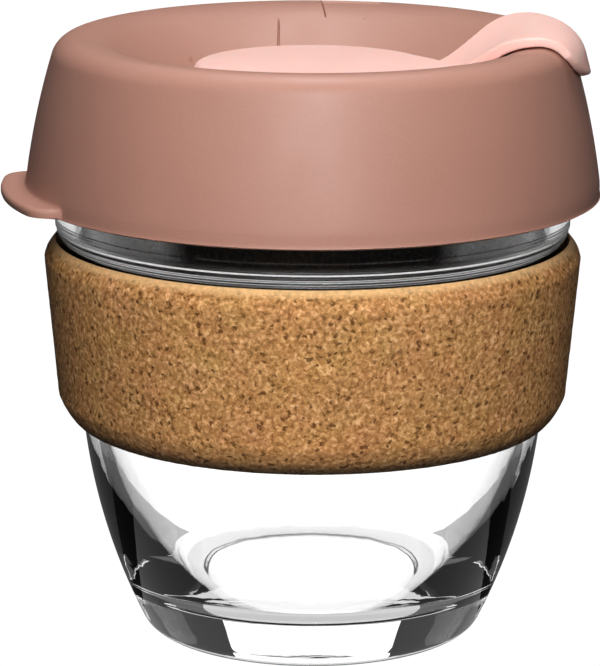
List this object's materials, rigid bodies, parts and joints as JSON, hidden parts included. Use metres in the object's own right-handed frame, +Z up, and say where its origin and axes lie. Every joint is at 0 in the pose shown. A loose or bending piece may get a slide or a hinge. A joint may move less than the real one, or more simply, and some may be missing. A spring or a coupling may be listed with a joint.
{
  "type": "reusable glass coffee cup",
  "caption": "Reusable glass coffee cup with a cork grip band, a press-on plastic lid with a thumb tab, and a soft swivel plug that closes the sip hole.",
  "frame": {"origin": "centre of the cup's flat underside, on the surface it stands on", "axes": "+Z up the cup's axis, +X from the axis towards the sip hole and the plug's arm, +Y to the left of that"},
  "size_m": [0.0915, 0.0878, 0.0945],
  "materials": {
    "clear_glass": "clear polished",
    "cork": "sanded agglomerated cork",
    "lid_plastic": "fine matt moulding",
    "plug_rubber": "soft satin"
  },
  "bodies": {
    "cup": {"glass_cup": "clear_glass"},
    "band": {"cork_band": "cork"},
    "lid": {"lid": "lid_plastic"},
    "plug": {"plug_hub": "plug_rubber"},
    "arm": {"plug_arm": "plug_rubber"}
  },
  "joints": [
    {"name": "band_slide", "type": "slide", "parent": "cup", "child": "band", "axis": [0, 0, -1], "range_m": [0, 0.033]},
    {"name": "lid_lift", "type": "slide", "parent": "cup", "child": "lid", "axis": [0, 0, 1], "range_m": [0, 0.045]},
    {"name": "plug_swivel", "type": "hinge", "parent": "lid", "child": "plug", "pos_m": [0, 0, 0.0854], "axis": [0, 0, 1], "range_deg": [0, 80]},
    {"name": "arm_flex", "type": "hinge", "parent": "plug", "child": "arm", "pos_m": [0.02, 0, 0.0868], "axis": [0, -1, 0], "range_deg": [0, 40], "stiffness_Nm_per_rad": 0.11}
  ]
}
